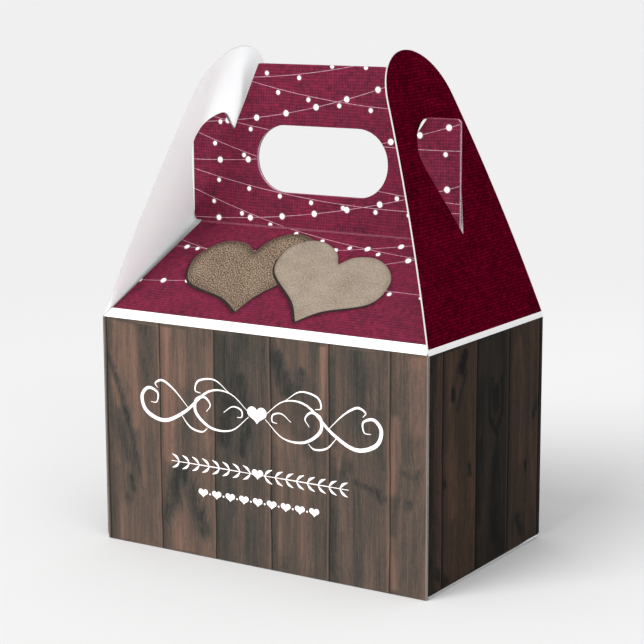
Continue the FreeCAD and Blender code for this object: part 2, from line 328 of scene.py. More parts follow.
class Shader:
    """A node-based material with short ways to add what the prints are made of."""

    def __init__(self, name, roughness, specular):
        self.material = bpy.data.materials.new(name)
        self.material.use_nodes = True
        self.tree = self.material.node_tree
        self.surface = self.tree.nodes["Principled BSDF"]
        self.surface.inputs["Roughness"].default_value = roughness
        self.surface.inputs["Specular IOR Level"].default_value = specular

    def feed(self, socket, value):
        """Give an input a value, or link another node's output to it."""
        if isinstance(value, bpy.types.NodeSocket):
            self.tree.links.new(value, socket)
        else:
            socket.default_value = value

    def add(self, kind, inputs=(), **settings):
        """A node with its settings and its inputs, each a value or another node's output."""
        node = self.tree.nodes.new(kind)
        for key, value in settings.items():
            setattr(node, key, value)
        for key, value in dict(inputs).items():
            self.feed(node.inputs[key], value)
        return node

    def math(self, operation, first, second=0.0, third=0.0):
        return self.add("ShaderNodeMath", {0: first, 1: second, 2: third}, operation=operation).outputs[0]

    def plus(self, first, second):
        return self.math("ADD", first, second)

    def minus(self, first, second):
        return self.math("SUBTRACT", first, second)

    def times(self, first, second):
        return self.math("MULTIPLY", first, second)

    def over(self, first, second):
        return self.math("DIVIDE", first, second)

    def swayed(self, total, *parts):
        """The total, moved by each part: its strength times how far its value is from a half."""
        for value, strength in parts:
            total = self.math("MULTIPLY_ADD", self.minus(value, 0.5), strength, total)
        return total

    def attribute(self, name, output="Fac"):
        return self.add("ShaderNodeAttribute", attribute_name=name).outputs[output]

    def object_place(self):
        return self.add("ShaderNodeTexCoord").outputs["Object"]

    def sheet(self):
        """Across and up on the sheet, in millimetres."""
        split = self.add("ShaderNodeSeparateXYZ", {0: self.attribute("sheet", "Vector")})
        return split.outputs[0], split.outputs[1]

    def vector(self, x, y, z=0.0):
        return self.add("ShaderNodeCombineXYZ", {0: x, 1: y, 2: z}).outputs[0]

    def noise(self, where, scale=1.0, detail=2.0, roughness=0.5, distortion=0.0):
        node = self.add("ShaderNodeTexNoise", {
            "Vector": where, "Scale": scale, "Detail": detail,
            "Roughness": roughness, "Distortion": distortion})
        return node.outputs["Fac"]

    def sheet_noise(self, across, up, across_scale, up_scale, layer=0.0, **look):
        """Noise over the sheet, with its own scale across and up."""
        where = self.vector(self.times(across, across_scale), self.times(up, up_scale), layer)
        return self.noise(where, **look)

    def ramp(self, factor, low, high, start=0.0, end=1.0):
        """The factor's stretch from low to high mapped onto start to end, and held outside it."""
        node = self.add("ShaderNodeMapRange", {0: factor, 1: low, 2: high, 3: start, 4: end})
        node.interpolation_type = "SMOOTHSTEP"
        return node.outputs[0]

    def colours(self, factor, tones, last=1.0, interpolation="LINEAR"):
        """Colour ramp through tones at equal steps from zero to the last place."""
        node = self.add("ShaderNodeValToRGB", {0: factor})
        ramp = node.color_ramp
        ramp.interpolation = interpolation
        while len(ramp.elements) < len(tones):
            ramp.elements.new(0.5)
        for number, tone in enumerate(tones):
            ramp.elements[number].position = last * number / (len(tones) - 1)
            ramp.elements[number].color = tone
        return node.outputs[0]

    def mottled(self, cover, dark, light):
        """Two tones run into each other along a noise."""
        return self.colours(self.ramp(cover, 0.3, 0.7), [dark, light])

    def covered(self, colour, *layers):
        """The colour under layers, each with its share and its tone."""
        for share, tone in layers:
            node = self.add("ShaderNodeMix", {0: share, 6: colour, 7: tone}, data_type="RGBA")
            colour = node.outputs[2]
        return colour

    def finish(self, colour, height=None, depth=0.02):
        """Connect the colour, and a bump height with its depth in millimetres."""
        self.tree.links.new(colour, self.surface.inputs["Base Color"])
        if height is not None:
            bump = self.add("ShaderNodeBump", {"Height": height, "Distance": depth * MM, "Strength": 0.6})
            self.tree.links.new(bump.outputs[0], self.surface.inputs["Normal"])
        return self.material


PLANK_PITCH = 17.9
PLANK_FIRST = 1.4
# How light each board is, one after another round the box.
BOARD_TONES = [0.30, 0.50, 0.52, 0.32, 0.45, 0.47, 0.51, 0.52, 0.22, 0.46, 0.30, 0.50,
               0.36, 0.48, 0.28, 0.50, 0.44, 0.52, 0.24, 0.44]
# Number of the board tone that the sheet's first board takes, and half a board to be clear of its joints.
BOARD_SHIFT = 1.5
# Each board's grain is another slice of the same noise.
BOARD_LAYER = 7.31


def board_tone(shader, across, up, board, contrast):
    """How light the wood is: its board's own tone, grain, knots, stains and warm streaks."""
    layer = shader.times(board, BOARD_LAYER)
    knots = shader.attribute("stain")
    bent = shader.plus(across, shader.times(knots, 1.8))
    streaks = shader.sheet_noise(bent, up, 0.30, 0.016, layer, detail=6, roughness=0.6, distortion=0.4)
    fibres = shader.sheet_noise(bent, up, 3.4, 0.07, layer, detail=4, roughness=0.7, distortion=0.1)
    patches = shader.sheet_noise(across, up, 0.11, 0.04, layer, detail=5, roughness=0.65, distortion=0.6)
    pores = shader.sheet_noise(across, up, 5.0, 1.1, layer, detail=2, roughness=0.6)
    broken = shader.sheet_noise(across, up, 0.5, 0.16, layer, detail=5, roughness=0.7, distortion=1.0)
    ring_place = shader.plus(shader.times(bent, 0.85), shader.times(patches, 26.0))
    rings = shader.math("SINE", shader.times(ring_place, 2.1))
    count = len(BOARD_TONES)
    greys = [(tone, tone, tone, 1.0) for tone in BOARD_TONES]
    tone = shader.colours(shader.over(shader.plus(board, BOARD_SHIFT), count), greys,
                          last=(count - 1) / count, interpolation="CONSTANT")
    tone = shader.swayed(tone, (streaks, contrast), (fibres, 0.8), (patches, 0.6), (pores, 0.4))
    tone = shader.math("MULTIPLY_ADD", rings, 0.035, tone)
    warmth = shader.times(shader.attribute("warm"), shader.ramp(streaks, 0.25, 0.65, 0.25, 0.52))
    stained = shader.times(knots, shader.ramp(broken, 0.25, 0.7, 0.15, 0.6))
    return shader.minus(shader.plus(tone, warmth), stained)


def plank_material(name, light, tones, joint_tone, worn_tone, contrast, joint_width):
    """Printed boards standing upright, with dark joints. Tones are as seen under the light."""
    shader = Shader(name, roughness=0.7, specular=0.05)
    tones = [printed(*tone, light) for tone in tones]
    across, up = shader.sheet()
    wander = shader.sheet_noise(across, up, 0.02, 0.04, detail=2)
    shifted = shader.plus(across, shader.ramp(wander, 0.2, 0.8, -0.2, 0.2))
    place = shader.over(shader.minus(shifted, PLANK_FIRST), PLANK_PITCH)
    board = shader.math("FLOOR", place)
    inside = shader.times(shader.math("FRACT", place), PLANK_PITCH)
    colour = shader.colours(board_tone(shader, across, up, board, contrast), tones)
    shadow = shader.ramp(inside, 0.3, 3.0, 0.35, 0.0)
    from_gleam = shader.math("ABSOLUTE", shader.minus(inside, PLANK_PITCH - 0.5))
    gleam = shader.ramp(from_gleam, 0.1, 0.35, 0.6, 0.0)
    joint_left = shader.ramp(inside, 0.3 * joint_width, joint_width, 1.0, 0.0)
    joint_right = shader.ramp(inside, PLANK_PITCH - 0.2, PLANK_PITCH, 0.0, 1.0)
    joint = shader.math("MAXIMUM", joint_left, joint_right)
    colour = shader.covered(
        colour, (shadow, tones[0]), (gleam, tones[3]),
        (shader.times(joint, 0.85), printed(*joint_tone, light)),
        (shader.attribute("worn"), printed(*worn_tone, light)))
    fibre = shader.sheet_noise(across, up, 4.0, 4.0, detail=3)
    return shader.finish(colour, fibre, depth=0.01)


WEAVE_PITCH = 0.84


def weave_material(name, light, tones, halo_tone, worn_tone, thread_shares, specular):
    """Printed burlap: uneven threads both ways with dark gaps between, and halos round the lights.

    thread_shares are how strongly rows, columns and gaps show."""
    shader = Shader(name, roughness=0.7, specular=specular)
    tones = [printed(*tone, light) for tone in tones]
    across, up = shader.sheet()
    wobble = shader.sheet_noise(across, up, 0.06, 0.06, detail=2)
    drift = shader.ramp(wobble, 0.2, 0.8, -0.4, 0.4)
    warp = shader.over(shader.plus(across, drift), WEAVE_PITCH)
    weft = shader.over(shader.plus(up, drift), WEAVE_PITCH)
    column = shader.math("FLOOR", warp)
    row = shader.math("FLOOR", weft)

    def gap(thread):
        wave = shader.math("COSINE", shader.times(thread, math.tau))
        return shader.math("MULTIPLY_ADD", wave, 0.5, 0.5)

    def slub(along, thread, layer):
        where = shader.vector(shader.times(along, 0.55), shader.times(thread, 1.37), layer)
        return shader.noise(where, detail=3, roughness=0.6)

    rows = slub(across, row, 3.0)
    columns = slub(up, column, 9.0)
    knots = shader.noise(shader.vector(column, row, 1.0), scale=0.83, detail=1)
    cloud = shader.sheet_noise(across, up, 0.10, 0.16, detail=4, roughness=0.6)
    fibres = shader.sheet_noise(across, up, 3.0, 3.0, detail=2)
    row_share, column_share, gap_share = thread_shares
    tone = shader.swayed(0.5 + 0.85 * gap_share, (rows, row_share), (columns, column_share),
                         (knots, 0.5), (cloud, 0.7), (fibres, 0.5))
    tone = shader.math("MULTIPLY_ADD", gap(weft), -gap_share, tone)
    tone = shader.math("MULTIPLY_ADD", gap(warp), -0.7 * gap_share, tone)
    colour = shader.covered(
        shader.colours(tone, tones), (shader.attribute("shade"), dimmed(tones[0], 0.15)),
        (shader.attribute("glow"), printed(*halo_tone, light)),
        (shader.attribute("worn"), printed(*worn_tone, light)))
    return shader.finish(colour, fibres, depth=0.01)


def card_material(name, tone, roughness=0.75):
    """Uncoated white card, with faint fibres and a slight mottle."""
    shader = Shader(name, roughness=roughness, specular=0.25)
    where = shader.object_place()
    fibres = shader.noise(where, scale=900.0, detail=5, roughness=0.7)
    mottle = shader.noise(where, scale=60.0, detail=3)
    colour = shader.covered(
        dimmed(printed(*tone), 0.97), (shader.ramp(mottle, 0.3, 0.7), printed(*tone)),
        (shader.ramp(fibres, 0.62, 0.8, 0.0, 0.2), printed(218, 214, 208)))
    return shader.finish(colour, fibres, depth=0.02)


def edge_material(name, dark, light):
    """The cut edge of the card, with its layers as fine lines."""
    shader = Shader(name, roughness=0.85, specular=0.1)
    layers = shader.noise(shader.object_place(), scale=5200.0, detail=2)
    return shader.finish(shader.mottled(layers, dark, light), layers, depth=0.02)


def ink_material(name, dark, light, grain, detail=3, roughness=0.55, specular=0.3):
    """Print of a single tone, very slightly uneven."""
    shader = Shader(name, roughness=roughness, specular=specular)
    across, up = shader.sheet()
    cover = shader.sheet_noise(across, up, grain, grain, detail=detail)
    return shader.finish(shader.mottled(cover, dark, light))


def fabric_heart_material(name, tones, grain, contrast):
    """Coarse fabric printed on a heart: salt-and-pepper grain over soft cloudy tones, and a worn rim."""
    shader = Shader(name, roughness=0.7, specular=0.05)
    tones = [printed(*tone, FRONT_LIGHT) for tone in tones]
    across, up = shader.sheet()
    cloud = shader.sheet_noise(across, up, 0.14, 0.17, detail=5, roughness=0.65)
    threads_across = shader.sheet_noise(across, up, grain * 0.6, grain * 1.3, detail=1)
    threads_up = shader.sheet_noise(across, up, grain * 1.3, grain * 0.6, 5.0, detail=1)
    tone = shader.swayed(0.5, (cloud, 1.2), (threads_across, contrast), (threads_up, contrast))
    rim = shader.attribute("rim")
    line = shader.ramp(rim, 0.80, 0.90, 0.0, 0.12)
    faded = shader.times(shader.ramp(rim, 0.0, 1.0, 0.0, 0.75), shader.ramp(up, 10.0, 28.0, 0.35, 1.0))
    return shader.finish(shader.covered(shader.colours(tone, tones), (faded, tones[0]), (line, tones[2])))


def glue_material():
    """Dried clear glue, a little yellow, with small bubbles."""
    shader = Shader("dried_glue", roughness=0.3, specular=0.5)
    bubbles = shader.noise(shader.object_place(), scale=700.0, detail=3)
    colour = shader.mottled(bubbles, printed(214, 204, 176), printed(236, 230, 212))
    return shader.finish(colour, bubbles, depth=0.05)


def floor_material_painted_light():
    """Pale matt studio floor, painted a little lighter round the box than far from it: painted light that
    evens out the shade the box throws on the floor round it.
    """
    shader = Shader("studio_floor_painted_light", roughness=0.9, specular=0.0)
    where = shader.object_place()
    speckle = shader.noise(where, scale=400.0, detail=3)
    far = shader.add("ShaderNodeVectorMath", {0: where}, operation="LENGTH").outputs["Value"]
    # Lighter near the box, darker far from it: painted light.
    tone = shader.math("MULTIPLY_ADD", speckle, 0.1, shader.times(shader.ramp(far, 0.1, 0.5), 0.9))
    return shader.finish(shader.colours(tone, [printed(215, 215, 215), printed(207, 207, 207)]))


# The board print for the front and back walls. Its darkest tones are lifted towards grey: painted sheen, as
# of a glossy coat facing the light.
FACE_PLANKS_PAINTED_SHEEN = plank_material(
    "plank_print_face_painted_sheen", FRONT_LIGHT,
    [(58, 58, 54), (80, 76, 71), (105, 91, 82), (131, 106, 93), (157, 121, 105)],
    joint_tone=(40, 37, 34), worn_tone=(225, 215, 208), contrast=0.9, joint_width=0.42)
# The same board print for the side walls, in much darker tones than the front's: painted shade.
SIDE_PLANKS_PAINTED_SHADE = plank_material(
    "plank_print_side_painted_shade", SIDE_LIGHT,
    [(16, 15, 12), (34, 30, 25), (52, 41, 33), (74, 55, 44), (98, 72, 58)],
    joint_tone=(6, 6, 5), worn_tone=(170, 158, 150), contrast=0.5, joint_width=1.0)
# The burlap print for the roofs and handles, its dark tones lifted in the same way: painted sheen.
FACE_WEAVE_PAINTED_SHEEN = weave_material(
    "weave_print_face_painted_sheen", FRONT_LIGHT, [(86, 37, 56), (129, 43, 69), (162, 48, 83)],
    halo_tone=(240, 200, 212), worn_tone=(205, 130, 155), thread_shares=(1.1, 1.0, 0.34), specular=0.04)
# The same burlap print for the gable flaps, in much darker tones: painted shade.
SIDE_WEAVE_PAINTED_SHADE = weave_material(
    "weave_print_side_painted_shade", SIDE_LIGHT, [(44, 0, 10), (78, 1, 22), (112, 4, 36)],
    halo_tone=(240, 200, 212), worn_tone=(190, 120, 140), thread_shares=(1.5, 0.5, 0.36), specular=0.0)
CARD_INSIDE = card_material("white_card_inside", (251, 254, 255))
CARD_BAND = card_material("white_card_face", (243, 243, 243), roughness=0.6)
# A darker copy of the white card, for the walls' foot lines, the gable flaps' bands and their folds: painted
# shade.
SIDE_BAND_PAINTED_SHADE = card_material("white_card_side_painted_shade", (214, 214, 215), roughness=0.7)
CARD_EDGE = edge_material(
    "card_cut_edge", printed(238, 235, 233, FRONT_LIGHT), printed(252, 250, 249, FRONT_LIGHT))
TINTED_EDGE = edge_material("card_cut_edge_tinted", printed(100, 44, 64), printed(160, 102, 122))
WHITE_PRINT = ink_material(
    "white_print", printed(236, 226, 226), printed(252, 248, 247), grain=1.3, detail=4)
STRING_PRINT = ink_material(
    "string_print", printed(220, 146, 170, FRONT_LIGHT), printed(255, 214, 228, FRONT_LIGHT), grain=1.1)
HEART_EDGE = ink_material(
    "heart_edge_print", printed(14, 10, 9), printed(34, 26, 22), grain=0.9, roughness=0.65, specular=0.2)
BURLAP_HEART = fabric_heart_material(
    "burlap_heart_print", [(54, 44, 33), (132, 109, 90), (200, 176, 152)], grain=4.2, contrast=6.0)
LINEN_HEART = fabric_heart_material(
    "linen_heart_print", [(146, 130, 114), (179, 164, 147), (198, 184, 168)], grain=2.8, contrast=1.4)
GLUE = glue_material()

# ---- Card panels ----

# Material slots that follow the print's own in every panel. Its inks come after them.
INSIDE_SLOT = 1
CUT_SLOT = 2


def triangulate(loops, points):
    """Constrained triangulation of closed loops and loose points.

    Returns the flat vertices, the triangles, which loops are round each triangle,
    and for each vertex the number of the given point that it came from."""
    places = []
    faces = []
    for loop in loops:
        faces.append(list(range(len(places), len(places) + len(loop))))
        places += loop
    found = delaunay_2d_cdt(places + points, [], faces, 0, 1e-4, True)
    sources = [origins[0] if origins else -1 for origins in found[3]]
    return found[0], found[2], [set(around) for around in found[5]], sources


def boundary_loops(triangles):
    """The closed loops of vertices round a set of triangles, with the triangles on their left."""
    directed = {(a, b) for face in triangles for a, b in edges_of(face)}
    following = {a: b for a, b in directed if (b, a) not in directed}
    loops = []
    while following:
        start = next(iter(following))
        loop = [start]
        while following[loop[-1]] != start:
            loop.append(following.pop(loop[-1]))
        following.pop(loop[-1])
        loops.append(loop)
    return loops


def grid(low, high, spacing):
    """Points of a grid that fills a flat rectangle, edges left out."""
    columns, rows = [max(1, round((high[axis] - low[axis]) / spacing)) for axis in (0, 1)]
    return [flat(low[0] + (high[0] - low[0]) * column / columns, low[1] + (high[1] - low[1]) * row / rows)
            for column in range(1, columns) for row in range(1, rows)]


def used_only(places, faces):
    """The places that faces use, and the faces renumbered to match."""
    used = sorted({index for face in faces for index in face})
    renumber = {old: new for new, old in enumerate(used)}
    return [places[index] for index in used], [[renumber[index] for index in face] for face in faces]


def make_object(name, vertices, faces, slots, materials, attributes):
    mesh = bpy.data.meshes.new(name)
    mesh.from_pydata([vertex * MM for vertex in vertices], [], faces)
    for material in materials:
        mesh.materials.append(material)
    mesh.polygons.foreach_set("material_index", slots)
    mesh.polygons.foreach_set("use_smooth", [True] * len(faces))
    mesh.set_sharp_from_angle(angle=math.radians(30))
    for key, values in attributes.items():
        kind = "FLOAT_VECTOR" if np.ndim(values) == 2 else "FLOAT"
        layer = mesh.attributes.new(key, kind, "POINT")
        layer.data.foreach_set("vector" if kind == "FLOAT_VECTOR" else "value",
                               np.asarray(values, np.float32).ravel())
    mesh.update()
    piece = bpy.data.objects.new(name, mesh)
    bpy.context.scene.collection.objects.link(piece)
    return piece


def print_face(outline, cuts, inks, guides, points, print_material):
    """The printed face between its outline and its cuts, with each triangle's material.

    A later ink covers an earlier one. Guides are loops that the mesh follows."""
    loops = [outline] + cuts + [shape for shape, material in inks] + guides
    flats, triangles, around, _ = triangulate(loops, points)
    first_ink = 1 + len(cuts)
    kept = []
    materials = []
    for triangle, owners in zip(triangles, around):
        if 0 not in owners or owners & set(range(1, first_ink)):
            continue
        inked = [owner - first_ink for owner in owners if first_ink <= owner < first_ink + len(inks)]
        kept.append(list(triangle))
        materials.append(inks[max(inked)][1] if inked else print_material)
    return *used_only(flats, kept), materials


def rim_slots(rings, drawn, faces, slots, creases):
    """Material slot of each rim edge: the cut's, or the print's where the card runs on past a fold."""
    beside = {edge: slot for face, slot in zip(faces, slots) for edge in edges_of(face)}

    def folded(index):
        return any(abs(drawn[index].y - crease) < 2.5 * CUT_ROUNDING for crease in creases)

    return [[beside[a, b] if folded(a) and folded(b) else CUT_SLOT for a, b in edges_of(ring)]
            for ring in rings]


def add_cut_edge(places, faces, slots, rims, rings, edge_slots):
    """Carry the rims over the rounded cut and down to the card's back, where the rings end up."""
    for out, swell in ((-CUT_ROUNDING, CUT_ROUNDING), (CUT_ROUNDING - CARD, CUT_ROUNDING), (-CARD, 0.0)):
        for number, rim in enumerate(rims):
            upper = rings[number]
            lower = list(range(len(places), len(places) + len(rim)))
            places += [(spot.x, spot.y, out) for spot in offset_loop(rim, swell)]
            for (a, b), (c, d) in zip(edges_of(upper), edges_of(lower)):
                faces.append([a, c, d, b])
            slots += edge_slots[number]
            rings[number] = lower


def add_back(places, faces, slots, rims, rings, inside_points):
    """The card's white back, meshed between the rings that the cut edge ends in."""
    areas = [doubled_area(rim) for rim in rims]
    outer = areas.index(max(areas))
    for area, rim, ring in zip(areas, rims, rings):
        if area < 0:
            rim.reverse()
            ring.reverse()
    flats, triangles, around, sources = triangulate(rims, inside_points)
    numbers = [index for ring in rings for index in ring]
    mapped = []
    for spot, source in zip(flats, sources):
        if 0 <= source < len(numbers):
            mapped.append(numbers[source])
        else:
            mapped.append(len(places))
            places.append((spot.x, spot.y, -CARD))
    for triangle, owners in zip(triangles, around):
        if owners == {outer}:
            faces.append([mapped[index] for index in reversed(triangle)])
            slots.append(INSIDE_SLOT)


def card_panel(node, body, place, outline, print_material, holes=(), inks=(), guides=(), points=(),
               inside_points=(), sheet_origin=(0.0, 0.0), tints=(), creases=(), cut_material=CARD_EDGE):
    """One panel of printed card: its inlaid print, its rounded cut edges and its white inside.

    inks are (outline, material) in the order they are printed.
    creases are the heights where the card runs on past a fold, so the print does too."""
    outline = offset_loop(anticlockwise(outline), -CUT_ROUNDING)
    cuts = [offset_loop(anticlockwise(hole), CUT_ROUNDING) for hole in holes]
    drawn, faces, face_materials = print_face(outline, cuts, inks, list(guides), list(points), print_material)
    materials = list(dict.fromkeys([print_material, CARD_INSIDE, cut_material] + face_materials))
    slots = [materials.index(material) for material in face_materials]
    places = [(spot.x, spot.y, 0.0) for spot in drawn]
    rings = boundary_loops(faces)
    rims = [[drawn[index] for index in ring] for ring in rings]
    edge_slots = rim_slots(rings, drawn, faces, slots, creases)
    add_cut_edge(places, faces, slots, rims, rings, edge_slots)
    add_back(places, faces, slots, rims, rings, list(inside_points))
    places, faces = used_only(places, faces)
    where = np.array(places)[:, :2]
    attributes = {"sheet": np.column_stack([where + np.array(sheet_origin), np.zeros(len(where))])}
    for key, tint in dict(tints).items():
        attributes[key] = tint(where)
    vertices = [place(*spot) for spot in places]
    piece = make_object(node + "_card", vertices, faces, slots, materials, attributes)
    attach(piece, body)
    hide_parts(node)


# ---- Print: strings of lights, hearts and a flourish ----

STRING_REACH = 50
STRING_HALF_SPAN = 42.0
STRING_WIDTH = 0.13
BULBS_PER_STRING = 11
SMALL_BULB = 0.56
LARGE_BULB = 0.76
BULB_DROP = 0.95
HALO = 0.4

# Heights above the handle's fold at the ears' left and right ends, the sag between them, where
# across the first bulb is, the first step from bulb to bulb, and how much each next step is shorter.
# Small bulbs hang under falling strings.
FALLING_STRINGS = [
    (44.5, 33.4, 3.6, -33.0, 9.7, 0.0),
    (30.6, 23.5, 2.4, -32.8, 10.1, 0.0),
    (25.2, 9.9, 3.1, -34.7, 9.7, 0.0),
    (14.6, 7.5, 3.0, -33.5, 10.1, 0.0),
    (9.0, -7.7, 3.0, -35.3, 9.4, 0.0),
    (-7.9, -19.4, 3.0, -44.3, 9.4, 0.0)]
# Large bulbs lie on rising strings.
RISING_STRINGS = [
    (27.6, 47.4, 4.1, -39.9, 9.6, 0.0),
    (17.2, 30.3, 3.0, -33.0, 9.4, 0.12),
    (1.1, 14.5, 3.0, -33.7, 10.6, 0.1),
    (-10.4, 0.6, 3.0, -48.0, 9.3, 0.0),
    (-24.0, -4.0, 3.0, -46.7, 7.75, 0.0)]
# On the top string small bulbs stand above it and hang below it in turn.
TOP_STRINGS = [(40.3, 52.3, 3.8, -38.0, 10.4, 0.0)]
# Each kind's strings, bulb radius, and how far its even and odd bulbs stand above the string.
STRING_KINDS = [
    (FALLING_STRINGS, SMALL_BULB, (-BULB_DROP, -BULB_DROP)),
    (RISING_STRINGS, LARGE_BULB, (0.0, 0.0)),
    (TOP_STRINGS, SMALL_BULB, (BULB_DROP, -BULB_DROP))]


def string_spot(string, across, fold_height, lift=0.0):
    """The place on a string, or above it by the lift, in the drawing of a panel."""
    left, right, sag = string[:3]
    share = (across + STRING_HALF_SPAN) / (2 * STRING_HALF_SPAN)
    return flat(across, left + (right - left) * share - 4 * sag * share * (1 - share) + fold_height + lift)


def light_strings(low, high, fold_height):
    """Inks and bulb places of the strings that cross a panel between two heights.

    fold_height is where the handle's fold lies in the panel's own drawing."""
    lines = []
    bulbs = []
    for strings, radius, lifts in STRING_KINDS:
        for string in strings:
            path = [string_spot(string, across, fold_height)
                    for across in range(-STRING_REACH, STRING_REACH + 1, 2)]
            near = [spot for spot in path if low - 2 < spot.y < high + 2]
            if len(near) > 1:
                lines += [(quad, STRING_PRINT) for quad in stroke(near, [STRING_WIDTH] * len(near))]
            first, spacing, closing = string[3:]
            for number in range(BULBS_PER_STRING):
                across = first + number * spacing - closing * number * (number - 1) / 2
                spot = string_spot(string, across, fold_height, lifts[number % 2])
                if abs(across) < STRING_REACH and low - 1 < spot.y < high + 1:
                    bulbs.append((spot, radius))
    return lines, bulbs


def bulb_inks(bulbs):
    return [(disc(spot, radius), WHITE_PRINT) for spot, radius in bulbs]


def halo_rings(bulbs):
    return [disc(spot, radius + reach) for spot, radius in bulbs for reach in (0.5 * HALO, HALO)]


def near_bulbs(bulbs):
    """Tint that fades out from each bulb's rim."""
    centres = np.array([[spot.x, spot.y] for spot, radius in bulbs])
    radii = np.array([radius for spot, radius in bulbs])

    def tint(where):
        gaps = np.linalg.norm(where[:, None] - centres[None], axis=2) - radii
        share = np.clip(1 - gaps.min(axis=1) / HALO, 0, 1)
        return 0.8 * share * share

    return tint


def distance_to_loop(where, loop):
    """Distance from each place to a closed outline, negative inside it."""
    starts = np.array([[spot.x, spot.y] for spot in loop])
    ends = np.roll(starts, -1, axis=0)
    along = ends - starts
    from_start = where[:, None] - starts[None]
    share = np.clip((from_start * along).sum(2) / np.maximum((along ** 2).sum(1), 1e-9), 0, 1)
    gap = np.linalg.norm(from_start - share[..., None] * along, axis=2).min(axis=1)
    above = (starts[None, :, 1] > where[:, None, 1]) != (ends[None, :, 1] > where[:, None, 1])
    rise = np.where(np.abs(along[:, 1]) < 1e-9, 1e-9, along[:, 1])
    crossing = starts[:, 0] + (where[:, None, 1] - starts[:, 1]) / rise * along[:, 0]
    inside = (above & (where[:, None, 0] < crossing)).sum(axis=1) % 2 == 1
    return np.where(inside, -gap, gap)


def soft_strokes(strokes):
    """Tint of soft-edged strokes, each (across, up) to (across, up) with a radius and a strength."""

    def tint(where):
        total = np.zeros(len(where))
        for start, end, radius, strength in strokes:
            start, along = np.array(start), np.array(end) - np.array(start)
            share = np.clip(((where - start) @ along) / max(along @ along, 1e-9), 0, 1)
            gap = np.linalg.norm(where - start - share[:, None] * along, axis=1)
            soft = np.clip(1.15 - gap / (1.7 * radius), 0, 1)
            total = np.maximum(total, strength * soft * soft * (3 - 2 * soft))
        return total

    return tint


# ---- Walls ----

# Dark cracks, knots and grey smudges of the boards on the front: start, end, radius, strength.
FACE_STAINS = [
    ((-48.9, 51.5), (-45.2, 43.0), 0.8, 0.9), ((-45.2, 43.0), (-41.6, 32.0), 0.7, 0.9),
    ((-41.6, 32.0), (-39.9, 23.5), 0.7, 0.8), ((-39.9, 23.5), (-40.4, 17.5), 1.1, 0.7),
    ((-46.5, 34.0), (-43.2, 25.0), 1.8, 0.45), ((-41.7, 18.3), (-41.2, 15.5), 1.1, 0.8),
    ((-43.0, 13.0), (-42.2, 12.6), 0.9, 0.5), ((-36.3, 61.0), (-35.8, 47.0), 2.4, 0.5),
    ((-37.0, 51.6), (-35.2, 51.2), 0.6, 0.8), ((-47.5, 48.0), (-46.0, 30.0), 1.2, 0.3),
    ((-25.5, 23.0), (-29.6, 9.5), 1.8, 0.8), ((-23.5, 22.5), (-17.3, 7.5), 2.0, 0.85),
    ((-25.0, 25.0), (-23.4, 22.0), 1.6, 0.45), ((-10.8, 60.0), (-9.6, 47.0), 2.2, 0.3),
    ((-9.6, 43.0), (-11.2, 33.5), 1.8, 0.8), ((-5.4, 50.0), (-3.2, 39.0), 1.4, 0.65),
    ((-3.2, 39.0), (-5.4, 30.5), 1.4, 0.6), ((-12.6, 52.0), (-12.2, 35.0), 1.1, 0.5),
    ((6.0, 57.0), (9.6, 48.5), 1.9, 0.95), ((13.6, 54.5), (12.7, 49.5), 1.0, 0.8),
    ((13.0, 49.0), (12.6, 38.0), 1.6, 0.3), ((5.0, 30.0), (5.2, 6.0), 0.9, 0.4),
    ((27.2, 31.5), (24.4, 26.5), 1.7, 0.6), ((30.0, 27.6), (36.8, 25.6), 0.6, 0.6),
    ((36.8, 25.6), (37.8, 24.6), 1.2, 0.85), ((31.2, 61.0), (31.4, 41.0), 2.4, 0.35),
    ((48.4, 32.0), (48.3, 30.8), 1.2, 0.7), ((43.6, 32.0), (47.0, 31.2), 0.6, 0.5),
    ((45.4, 24.6), (45.3, 23.2), 0.8, 0.7), ((46.2, 56.0), (45.4, 36.0), 1.6, 0.35),
    ((23.0, 58.0), (23.2, 4.0), 1.2, 0.35)]
# Reddish pale streaks of the same boards.
FACE_STREAKS = [
    ((-44.8, 62.0), (-44.0, 41.0), 2.6, 0.75), ((-41.2, 60.0), (-39.6, 34.0), 1.7, 0.6),
    ((-29.2, 62.0), (-28.4, 26.0), 1.7, 0.95), ((-24.0, 62.0), (-23.6, 48.0), 1.6, 0.35),
    ((-38.0, 40.0), (-37.4, 18.0), 1.0, 0.45), ((-47.0, 45.0), (-45.6, 38.5), 0.8, 0.8),
    ((-44.0, 8.0), (-43.5, 0.0), 2.4, 0.4), ((-26.0, 8.0), (-24.0, 0.0), 2.6, 0.4),
    ((20.2, 61.0), (19.3, 39.0), 1.0, 0.95), ((8.0, 36.0), (8.0, 8.0), 2.6, 0.35),
    ((16.0, 30.0), (16.5, 4.0), 1.8, 0.3), ((24.2, 34.5), (24.9, 31.0), 1.0, 0.5),
    ((41.6, 45.0), (41.0, 27.0), 1.2, 0.95), ((40.6, 14.0), (41.4, 2.0), 0.9, 0.85),
    ((47.4, 61.0), (47.6, 44.0), 2.2, 0.5), ((-16.0, 56.0), (-15.6, 30.0), 1.6, 0.3)]
